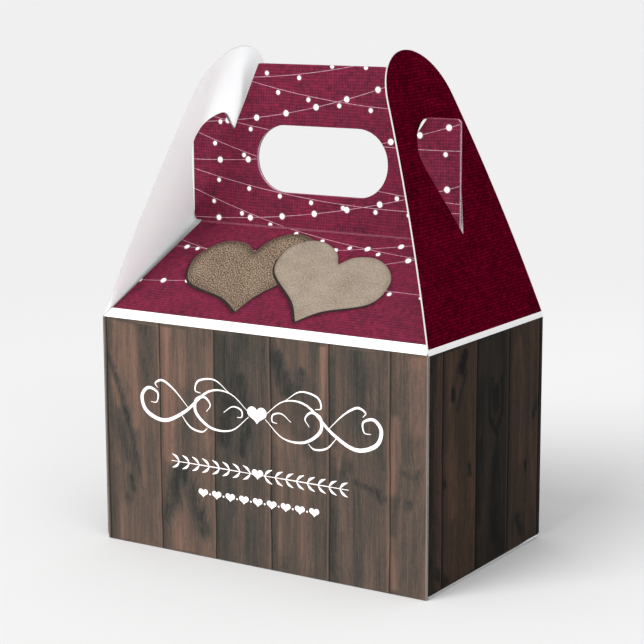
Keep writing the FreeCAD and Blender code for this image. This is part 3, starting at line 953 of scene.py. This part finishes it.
# The same for the sides.
SIDE_STAINS = [
    ((-29.8, 62.0), (-29.6, 1.0), 2.0, 0.6), ((-29.8, 30.0), (-29.0, 20.0), 1.2, 0.9),
    ((-22.8, 28.6), (-22.6, 27.6), 0.5, 1.8), ((-12.8, 59.8), (-14.6, 55.6), 1.0, 2.2),
    ((-18.6, 51.2), (-18.9, 49.4), 0.8, 2.2), ((-12.2, 55.0), (-16.6, 46.0), 0.6, 0.8),
    ((-18.9, 49.4), (-16.5, 57.0), 0.5, 0.6), ((-9.8, 30.0), (-9.6, 27.4), 0.5, 1.8),
    ((-27.0, 6.0), (-20.0, 0.0), 1.4, 0.8), ((4.3, 47.0), (4.8, 42.5), 1.1, 1.3),
    ((1.8, 50.0), (0.8, 40.5), 0.4, 1.0), ((7.6, 50.5), (7.8, 40.0), 0.4, 1.0),
    ((0.8, 40.5), (4.6, 35.6), 0.5, 1.0), ((7.8, 40.0), (4.6, 35.6), 0.5, 1.0),
    ((-4.5, 34.0), (-5.0, 14.0), 1.6, 0.4), ((5.0, 30.0), (4.0, 8.0), 2.0, 0.35),
    ((26.6, 36.0), (29.4, 40.0), 0.8, 1.2), ((22.0, 23.6), (22.2, 22.0), 0.5, 1.8),
    ((17.6, 9.0), (19.6, 5.0), 1.2, 0.9), ((15.4, 10.0), (15.2, 4.0), 0.4, 0.7),
    ((21.6, 9.5), (21.8, 3.5), 0.4, 0.7)]
SIDE_STREAKS = [
    ((-20.5, 60.0), (-19.5, 20.0), 2.2, 0.3), ((-9.0, 44.0), (-8.4, 20.0), 1.4, 0.25),
    ((16.5, 56.0), (17.2, 26.0), 2.4, 0.3), ((26.0, 36.0), (26.4, 12.0), 1.8, 0.25)]


def mirrored(strokes):
    return [((-start[0], start[1]), (-end[0], end[1]), radius, strength)
            for start, end, radius, strength in strokes]


def board_tints(stains, streaks):
    return dict(stain=soft_strokes(stains), warm=soft_strokes(streaks))


CORNER_STEPS = 6
CORNER_ROWS = 60
CORNER_LENGTH = CORNER_RADIUS * math.pi / 2
FOOT_LINE = 0.15
# Where the front wall's left end is on the sheet.
SHEET_START = 0.6


def corner_wear(flat_end):
    """Tint along the middle of the corner fold, where the print is worn."""

    def tint(where):
        share = (where[:, 0] - flat_end) / CORNER_LENGTH
        return 0.4 * np.clip(1 - np.abs(share - 0.5) / 0.35, 0, 1) * (share > 0)

    return tint


def wall_panel(node, place, low, ends, corner, sheet_start, material, tints, spacing, inks=()):
    """A wall between its flat ends, with or without a corner fold at the right one.

    Returns where the next wall starts on the sheet."""
    bends = [ends[1]]
    folds = []
    if corner:
        bends = [ends[1] + CORNER_LENGTH * step / CORNER_STEPS for step in range(CORNER_STEPS + 1)]
        rows = [low + (WALL_TOP - low) * row / CORNER_ROWS for row in range(1, CORNER_ROWS)]
        folds = [flat(across, up) for across in bends[:-1] for up in rows]
        tints = dict(tints, worn=corner_wear(ends[1]))
    outline = [flat(ends[0], WALL_TOP), flat(ends[0], low)]
    outline += [flat(across, low) for across in bends]
    outline += [flat(across, WALL_TOP) for across in reversed(bends)]
    if low > 0:
        # The foot line is printed in the darker copy of the white card: painted shade.
        foot = rectangle(ends[0] - 1, bends[-1] + 1, low - 1, low + FOOT_LINE)
        inks = list(inks) + [(foot, SIDE_BAND_PAINTED_SHADE)]
    middle = grid((ends[0], low), (ends[1], WALL_TOP), spacing)
    origin = sheet_start - ends[0]
    card_panel(node, "walls", place, outline, material, inks=inks, points=middle + folds,
               inside_points=folds, sheet_origin=(origin, 0.0), tints=tints, creases=(WALL_TOP,))
    return origin + bends[-1]


def box_walls():
    """The four walls, with the boards running on round the corners."""
    half_width = WIDTH / 2 - CORNER_RADIUS
    half_depth = DEPTH / 2 - CORNER_RADIUS
    left_start = -node_box("left_wall")[1].y
    face = board_tints(FACE_STAINS, FACE_STREAKS)
    rear = board_tints(mirrored(FACE_STAINS), mirrored(FACE_STREAKS))
    side = board_tints(SIDE_STAINS, SIDE_STREAKS)
    # The front and back walls take the board print with its dark tones lifted (painted sheen), the side walls
    # its darker copy (painted shade).
    start = wall_panel("front_wall", wall_place(WIDTH, 0, DEPTH / 2), 0.0, (-half_width, half_width),
                       True, SHEET_START, FACE_PLANKS_PAINTED_SHEEN, face, spacing=0.8, inks=flourish())
    start = wall_panel("right_wall", wall_place(DEPTH, 90, WIDTH / 2), SIDE_LOW, (-half_depth, half_depth),
                       True, start, SIDE_PLANKS_PAINTED_SHADE, side, spacing=1.0)
    start = wall_panel("back_wall", back_place, SIDE_LOW, (-half_width, WIDTH / 2),
                       False, start, FACE_PLANKS_PAINTED_SHEEN, rear, spacing=1.0)
    wall_panel("left_wall", wall_place(DEPTH, 270, WIDTH / 2), SIDE_LOW, (left_start, half_depth),
               True, start, SIDE_PLANKS_PAINTED_SHADE, side, spacing=1.0)


FLOURISH_HEIGHT = 41.0
# Scrolls of the flourish's right half, from its middle outwards, with their greatest widths.
SCROLLS = [
    ([(2.6, 0.6), (8.5, 4.9), (15.5, 4.6), (23.0, -1.6), (30.0, -5.0), (36.0, -3.2), (37.6, 0.8), (35.4, 3.4),
      (32.3, 2.4), (32.6, -0.2), (34.6, -0.4)], 1.25),
    ([(2.6, -0.6), (8.0, -4.9), (14.5, -5.2), (19.4, -1.9), (19.6, 1.7), (16.9, 3.0), (14.9, 1.1),
      (16.2, -0.9)], 1.05),
    ([(9.0, 5.2), (13.5, 8.0), (18.6, 7.2), (19.8, 4.5), (18.0, 3.9)], 0.6),
    ([(22.0, -0.7), (26.5, 3.6), (30.5, 5.9), (33.0, 4.9), (32.2, 3.7)], 0.7),
    ([(24.5, -2.7), (21.5, -5.8), (17.8, -6.6), (15.9, -5.4)], 0.6),
    ([(10.6, -0.4), (7.7, 1.5), (5.0, 0.9), (4.8, -0.9), (6.3, -1.2)], 0.5)]
PEN_TIP = 0.16
LEAF_ROW_HEIGHT = 25.2
LEAF_PAIRS = 8
LEAF_FIRST = 2.2
LEAF_SPACING = 3.3
# Middle and tip of a leaf, from its foot on the stem.
LEAF_SHAPE = [(1.0, 1.2), (2.4, 1.9)]
LEAF_WIDTH = 0.8
STEM = [(1.6, 0.0), (14.0, 0.05), (28.0, 0.0)]
STEM_WIDTH = 0.34
HEART_ROW_HEIGHT = 17.6
HEART_SPACING = 4.4
DOT_RADIUS = 0.28
# Height of the tip and size of the two hearts on the middle line, and of those in the row.
MIDDLE_HEARTS = [(FLOURISH_HEIGHT - 2.2, 0.17), (LEAF_ROW_HEIGHT - 1.3, 0.1)]
ROW_HEART = (HEART_ROW_HEIGHT - 1.1, 0.085)


def swash(points, height, width):
    """A pen stroke through points above a height, thin at its ends and widest in the middle."""
    path = curve([flat(across, up + height) for across, up in points], 5)
    last = len(path) - 1
    swell = 0.85 * width - PEN_TIP
    widths = [PEN_TIP + swell * math.sin(math.pi * step / last) ** 1.6 for step in range(last + 1)]
    return stroke(path, widths)


def both_ways(shapes):
    """The shapes and their mirror images across the middle line."""
    return shapes + [[flat(-spot.x, spot.y) for spot in reversed(shape)] for shape in shapes]


def flourish():
    """White pen scrolls over a row of leaves and a row of little hearts."""
    strokes = []
    for points, width in SCROLLS:
        strokes += swash(points, FLOURISH_HEIGHT, width)
    for number in range(LEAF_PAIRS):
        foot = LEAF_FIRST + number * LEAF_SPACING
        for rise in (1, -1):
            leaf = [(foot, 0.0)] + [(foot + across, rise * up) for across, up in LEAF_SHAPE]
            strokes += swash(leaf, LEAF_ROW_HEIGHT, LEAF_WIDTH)
    strokes += swash(STEM, LEAF_ROW_HEIGHT, STEM_WIDTH)
    hearts = [heart(flat(0, tip), 0, size) for tip, size in MIDDLE_HEARTS]
    dots = []
    for number in range(-4, 5):
        across = number * HEART_SPACING
        hearts.append(heart(flat(across, ROW_HEART[0]), 0, ROW_HEART[1]))
        if number < 4:
            dots.append(disc(flat(across + HEART_SPACING / 2, HEART_ROW_HEIGHT), DOT_RADIUS, 10))
    return [(shape, WHITE_PRINT) for shape in both_ways(strokes) + hearts + dots]


# ---- Roof, handle and gable flaps ----

# Tip, lean, size, stretch across, slant and print of the two hearts, the one behind first.
HEARTS = [((-10.5, 7.0), 14.5, 1.057, 1.0, 0.0, BURLAP_HEART),
          ((8.9, 6.0), -13.2, 1.0, 1.066, -0.119, LINEN_HEART)]
HEART_RIM = 0.15
HEART_DROP = flat(-0.2, -0.62)
HEART_SHADOW = 1.5
# How far in from each heart's edge its print is worn.
HEART_WEAR = (4.0, 1.2)
# Left, right and upper reach of a heart from its tip, and the spacing of its mesh.
HEART_REACH = (26, 22, 30)
HEART_MESH = 1.5
# Bands are drawn wider than their panels, which cut them off.
BAND_REACH = 60


def shadow_tint(edges):
    """Tint that fades out from the hearts' edges."""

    def tint(where):
        gaps = np.array([distance_to_loop(where, edge) for edge in edges]).min(axis=0)
        share = np.clip(1 - gaps / HEART_SHADOW, 0, 1)
        return 0.6 * share * share

    return tint


def rim_tint(shapes):
    """Tint that fades out inwards from each heart's rim, the front heart's over the other's."""

    def tint(where):
        share = np.zeros(len(where))
        for shape, reach in zip(shapes, HEART_WEAR):
            gap = distance_to_loop(where, shape)
            share = np.where(gap < CUT_ROUNDING, np.clip(1 + gap / reach, 0, 1) ** 2, share)
        return share

    return tint


def roof_panel(side, place):
    """A slope with its strings of lights, its two overlapping hearts and the white band at its foot."""
    top = ROOF_LENGTH - FOLD_GAP
    outline = rounded(both_sides([(ROOF_FOOT_WIDTH / 2, FOLD_GAP, 0), (ROOF_TOP_WIDTH / 2, top, 0)]))
    lines, bulbs = light_strings(0, ROOF_LENGTH, ROOF_LENGTH)
    inks = lines + bulb_inks(bulbs)
    guides = halo_rings(bulbs)
    shapes = []
    edges = []
    interior = []
    left, right, upper = HEART_REACH
    for tip, lean, size, stretch, slant, material in HEARTS:
        shape = heart(flat(*tip), lean, size, stretch, slant)
        edge = [spot + HEART_DROP for spot in offset_loop(shape, HEART_RIM)]
        shapes.append(shape)
        edges.append(edge)
        inks += [(edge, HEART_EDGE), (shape, material)]
        guides += [offset_loop(edge, HEART_SHADOW * share) for share in (0.4, 1.0)]
        interior += grid((tip[0] - left, tip[1]), (tip[0] + right, tip[1] + upper), HEART_MESH)
    inks.append((rectangle(-BAND_REACH, BAND_REACH, -1, ROOF_BAND), CARD_BAND))
    card_panel(side + "_roof", side + "_roof", place, outline, FACE_WEAVE_PAINTED_SHEEN, inks=inks, guides=guides,
               points=interior, creases=(FOLD_GAP, top),
               tints=dict(glow=near_bulbs(bulbs), shade=shadow_tint(edges), rim=rim_tint(shapes)))


def handle_panel(side, place):
    """A handle panel with its hand hole, its ears and its notches."""
    outline = rounded(both_sides([
        (EAR_SPAN / 2, EAR_BASE, EAR_CORNER),
        (EAR_SPAN / 2, EAR_TOP, EAR_CORNER),
        (EAR_INNER / 2, EAR_TOP, 0),
        (NOTCH_SPAN / 2, NOTCH_HEIGHT, 0),
        (GRIP_WIDTH / 2, GRIP_TOP, GRIP_CORNER)]))
    low = HOLE_MIDDLE - HOLE_HEIGHT / 2
    high = HOLE_MIDDLE + HOLE_HEIGHT / 2
    hole = rounded(both_sides([(HOLE_WIDTH / 2, low, HOLE_RADIUS), (HOLE_WIDTH / 2, high, HOLE_RADIUS)]), 12)
    lines, bulbs = light_strings(0, GRIP_TOP, 0.0)
    card_panel(side + "_handle", side + "_handle", place, outline, FACE_WEAVE_PAINTED_SHEEN, holes=[hole],
               inks=lines + bulb_inks(bulbs), guides=halo_rings(bulbs), sheet_origin=(0.0, ROOF_LENGTH),
               creases=(EAR_BASE,), cut_material=TINTED_EDGE, tints=dict(glow=near_bulbs(bulbs)))


def flap_outline():
    """Slanted sides from the foot, running tangent into a round top."""
    slant = math.atan(FLAP_TAPER)
    foot = FLAP_FOOT_WIDTH / 2
    radius = (foot - FLAP_TAPER * FLAP_LENGTH) / (1 / math.cos(slant) - FLAP_TAPER)
    crown = arc(flat(0, FLAP_LENGTH - radius), radius, slant, math.pi - slant, 24)
    foot_half = foot - FLAP_TAPER * FOLD_GAP
    return divided([flat(-foot_half, FOLD_GAP), flat(foot_half, FOLD_GAP)] + crown, 2.0)


# Right side of the gable slot's lobe, from its straight side's end up to near the cusp.
SLOT_LOBE = [(9.0, 44.8), (10.0, 48.7), (9.0, 51.9), (7.4, 54.4), (5.8, 56.6), (4.2, 58.1),
             (3.2, 57.9), (2.3, 56.6), (1.4, 55.1)]
FLAP_MESH = 1.8
# Where the flaps' print lies on the sheet, clear of the other panels.
FLAP_SHEET = (170.0, 0.0)


def heart_slot():
    """Heart-shaped slot: straight sides from the tip, high lobes, and a cusp between them."""
    lobe = curve([flat(*spot) for spot in SLOT_LOBE] + [flat(0, SLOT_CUSP)], 3)
    return divided(closed_by_mirror([flat(0, SLOT_TIP)] + lobe), 1.5)


def flap_panel(side, place):
    """A gable flap: bowed card with a heart-shaped slot, printed outside and white inside."""
    half = FLAP_FOOT_WIDTH / 2
    coarse = grid((-half, 0), (half, FLAP_LENGTH), FLAP_MESH)
    tongue = grid((-TONGUE_HALF_WIDTH, TONGUE_ROOT), (TONGUE_HALF_WIDTH, FLAP_LENGTH), FLAP_MESH / 2)
    points = [spot for spot in coarse if abs(spot.x) > TONGUE_HALF_WIDTH or spot.y < TONGUE_ROOT] + tongue
    # The flap takes the darker copy of the burlap print, and its band the darker copy of the white card:
    # painted shade.
    band = divided(rectangle(-40, 40, -1, FLAP_BAND), FLAP_MESH)
    node = side + "_gable_flap"
    card_panel(node, node, place, flap_outline(), SIDE_WEAVE_PAINTED_SHADE, holes=[heart_slot()],
               inks=[(band, SIDE_BAND_PAINTED_SHADE)], points=points, inside_points=points,
               sheet_origin=FLAP_SHEET, creases=(FOLD_GAP,))


# ---- Folds ----

FOLD_STEPS = 8
HANDLE_FOLD_WEAR = 0.7
# The wear is a thin line along the fold's middle.
WEAR_SHARPNESS = 12
# Where the middle of the roof's folds is on the sheet of the walls.
ROOF_FOLD_SHEET = (51.0, WALL_TOP)
# How much longer the roof's folds are at the walls than at the roof, and the gable's shorter than its flap.
FOLD_STEP = 0.2
# The dust folds' outer bend is drawn in and up by this much, so that the bottom clears a raised flap.
DUST_BEND = (0.02, 0.5)


def bezier(controls, share):
    a, b, c = controls
    return a * (1 - share) ** 2 + b * 2 * share * (1 - share) + c * share ** 2


def fold_strip(name, bodies, curves, along, widths, materials, slot_name, worn=0.0, sheet=(0.0, 0.0)):
    """The creased card between two panels, bent along the control points of its outside and its inside.

    widths are the strip's lengths along the fold at its first and second panel,
    and materials are the prints of its first and second half."""
    vertices = []
    faces = []
    slots = []
    places = []
    wear = []
    for step in range(FOLD_STEPS + 1):
        share = step / FOLD_STEPS
        reach = (widths[0] + (widths[1] - widths[0]) * share) / 2
        for controls in curves:
            spot = bezier(controls, share)
            vertices += [spot - along * reach, spot + along * reach]
            places += [(sheet[0] - reach, sheet[1] + share, 0.0), (sheet[0] + reach, sheet[1] + share, 0.0)]
            wear += [worn * math.sin(math.pi * share) ** WEAR_SHARPNESS] * 2
    for step in range(FOLD_STEPS):
        near = 4 * step
        far = near + 4
        outer = 0 if step < FOLD_STEPS / 2 else 1
        faces += [[near, near + 1, far + 1, far], [near + 3, near + 2, far + 2, far + 3],
                  [near + 2, near, far, far + 2], [near + 1, near + 3, far + 3, far + 1]]
        slots += [outer, 2, 3, 3]
    last = 4 * FOLD_STEPS
    faces += [[0, 2, 3, 1], [last, last + 1, last + 3, last + 2]]
    slots += [3, 3]
    piece = make_object(name + "_card", vertices, faces, slots, [*materials, CARD_INSIDE, CARD_EDGE],
                        dict(sheet=places, worn=wear))
    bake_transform(piece)


def crease_curves(pivot, first_way, second_way, first_out, second_out):
    """Outside and inside control points of a crease, folded about a pivot on the outside face."""
    mitre = (first_out + second_out) / (1 + first_out.dot(second_out))
    outside = [pivot + first_way * FOLD_GAP, pivot.copy(), pivot + second_way * FOLD_GAP]
    inside = [outside[0] - first_out * CARD, pivot - mitre * CARD, outside[2] - second_out * CARD]
    return outside, inside


def section(*spots):
    """Control points of a curve across a fold."""
    return [Vector(spot) for spot in spots]


def paired_folds(turned, face, gable):
    """The folds of one face and one gable, as drawn or turned half way round the box."""
    way = -1 if turned else 1
    across = X_AXIS * way
    gable_across = Y_AXIS * way

    def strip(name, bodies, curves, *rest, **more):
        if turned:
            curves = [[HALF_TURN @ spot for spot in controls] for controls in curves]
        fold_strip(name, bodies, curves, *rest, **more)

    roof = crease_curves(PIVOTS["front_roof_fold"], -Z_AXIS, ROOF_UP, -Y_AXIS, ROOF_OUT)
    strip(face + "_roof_fold", ("walls", face + "_roof"), roof, across,
          (ROOF_FOOT_WIDTH + FOLD_STEP, ROOF_FOOT_WIDTH), (FACE_PLANKS_PAINTED_SHEEN, CARD_BAND), "weave_print",
          sheet=ROOF_FOLD_SHEET)
    handle = crease_curves(PIVOTS["front_handle_fold"], -ROOF_UP, Z_AXIS, ROOF_OUT, -Y_AXIS)
    strip(face + "_handle_fold", (face + "_roof", face + "_handle"), handle, across,
          (ROOF_TOP_WIDTH, ROOF_TOP_WIDTH), (FACE_WEAVE_PAINTED_SHEEN, FACE_WEAVE_PAINTED_SHEEN), "weave_print",
          worn=HANDLE_FOLD_WEAR, sheet=(0.0, ROOF_LENGTH))
    # The gable fold takes the darker copy of the white card: painted shade.
    flap = crease_curves(PIVOTS["right_gable_fold"], -Z_AXIS, FLAP_UP, X_AXIS, FLAP_OUT)
    strip(gable + "_gable_fold", ("walls", gable + "_gable_flap"), flap, gable_across,
          (DEPTH - 2 * CORNER_RADIUS, FLAP_FOOT_WIDTH - FOLD_STEP), (SIDE_BAND_PAINTED_SHADE, SIDE_BAND_PAINTED_SHADE), "weave_print")
    outer = WIDTH / 2
    inner = outer - CARD
    low = DUST_BOX[0].z
    edge = DUST_BOX[1].x
    lean, lift = DUST_BEND
    dust = (section((outer, 0, SIDE_LOW), (outer - lean, 0, lift), (edge, 0, low)),
            section((inner, 0, SIDE_LOW), (inner - lean, 0, low + CARD), (edge, 0, low + CARD)))
    length = DUST_BOX[1].y - DUST_BOX[0].y
    strip(gable + "_dust_fold", ("walls", gable + "_dust_flap"), dust, gable_across,
          (length, length), (CARD_BAND, CARD_BAND), "plain_card")


def bottom_folds():
    """The fold between the back wall and the bottom, and the one between the bottom and its tuck."""
    outer = DEPTH / 2
    inner = outer - CARD
    edge = BOTTOM_BOX[1].y
    bottom = (section((0, outer, SIDE_LOW), (0, outer, 0), (0, edge, 0)),
              section((0, inner, SIDE_LOW), (0, inner, CARD), (0, edge, CARD)))
    width = BOTTOM_BOX[1].x - BOTTOM_BOX[0].x
    fold_strip("bottom_fold", ("walls", "bottom_panel"), bottom, -X_AXIS,
               (width, width), (CARD_BAND, CARD_BAND), "plain_card")
    outer = TUCK_BOX[0].y
    inner = outer + CARD
    edge = BOTTOM_BOX[0].y
    low = TUCK_BOX[0].z
    tuck = (section((0, edge, 0), (0, outer, 0), (0, outer, low)),
            section((0, edge, CARD), (0, inner, CARD), (0, inner, low)))
    width = TUCK_BOX[1].x - TUCK_BOX[0].x
    fold_strip("tuck_fold", ("bottom_panel", "tuck_flap"), tuck, X_AXIS,
               (width, width), (CARD_BAND, CARD_BAND), "plain_card")


# ---- CAD panels that stay as they are ----

PLAIN_NODES = {"bottom_panel": CARD_INSIDE, "tuck_flap": CARD_INSIDE, "right_dust_flap": CARD_INSIDE,
               "left_dust_flap": CARD_INSIDE, "seam_tab": CARD_INSIDE, "seam_glue": GLUE}


def dress_cad_nodes():
    for node, material in PLAIN_NODES.items():
        frame["nodes"][node].data.materials.clear()
        frame["nodes"][node].data.materials.append(material)


# ---- Studio, in metres and degrees ----

FLOOR_SIZE = 60
# Just under the box, so that the two do not touch.
FLOOR_LEVEL = -0.0001
SKY_STRENGTH = 0.74
# Name, strength, angular size and where the light comes from.
STUDIO_SUNS = [
    ("key_light", 0.88, 40, (-0.25, -0.75, 0.62)),
    ("fill_light", 0.74, 60, (0.78, -0.62, 0.06))]
CAMERA_PLACE = (0.27426, -0.42847, 0.15682)
CAMERA_LENS = 106.656
CAMERA_SENSOR = 36
CAMERA_AZIMUTH = 32.64
CAMERA_ELEVATION = 10.7
CAMERA_ROLL = -0.18


def studio_floor_painted_light():
    bpy.ops.mesh.primitive_plane_add(size=FLOOR_SIZE, location=(0, 0, FLOOR_LEVEL))
    floor = bpy.context.object
    floor.name = "studio_floor_painted_light"
    floor.data.materials.append(floor_material_painted_light())


def studio_light():
    """A pale room all round, a broad soft light from the upper front left and a low fill from the right."""
    world = bpy.data.worlds.new("studio")
    bpy.context.scene.world = world
    world.use_nodes = True
    sky = world.node_tree.nodes["Background"]
    sky.inputs["Color"].default_value = (1, 1, 1, 1)
    sky.inputs["Strength"].default_value = SKY_STRENGTH
    for name, strength, spread, source in STUDIO_SUNS:
        sun = bpy.data.lights.new(name, "SUN")
        sun.energy = strength * math.pi
        sun.angle = math.radians(spread)
        lamp = bpy.data.objects.new(name, sun)
        lamp.rotation_euler = Vector(source).normalized().to_track_quat("Z", "Y").to_euler()
        bpy.context.scene.collection.objects.link(lamp)


def studio_camera():
    camera = bpy.data.cameras.new("camera")
    camera.lens = CAMERA_LENS
    camera.sensor_width = CAMERA_SENSOR
    camera.clip_start = 0.01
    camera.clip_end = 100
    holder = bpy.data.objects.new("camera", camera)
    azimuth = math.radians(CAMERA_AZIMUTH)
    elevation = math.radians(CAMERA_ELEVATION)
    ahead = Vector((-math.sin(azimuth) * math.cos(elevation), math.cos(azimuth) * math.cos(elevation),
                    -math.sin(elevation)))
    aim = ahead.to_track_quat("-Z", "Y").to_matrix().to_4x4()
    roll = Matrix.Rotation(math.radians(CAMERA_ROLL), 4, "Z")
    holder.matrix_world = Matrix.Translation(CAMERA_PLACE) @ aim @ roll
    bpy.context.scene.collection.objects.link(holder)
    bpy.context.scene.camera = holder


box_walls()
for side, place in (("front", roof_place), ("back", half_turned(roof_place))):
    roof_panel(side, place)
for side, place in (("front", handle_place), ("back", half_turned(handle_place))):
    handle_panel(side, place)
for side, place in (("right", flap_place), ("left", half_turned(flap_place))):
    flap_panel(side, place)
paired_folds(False, "front", "right")
paired_folds(True, "back", "left")
bottom_folds()
dress_cad_nodes()
studio_floor_painted_light()
studio_light()
studio_camera()
bpy.context.scene.view_settings.view_transform = "Standard"
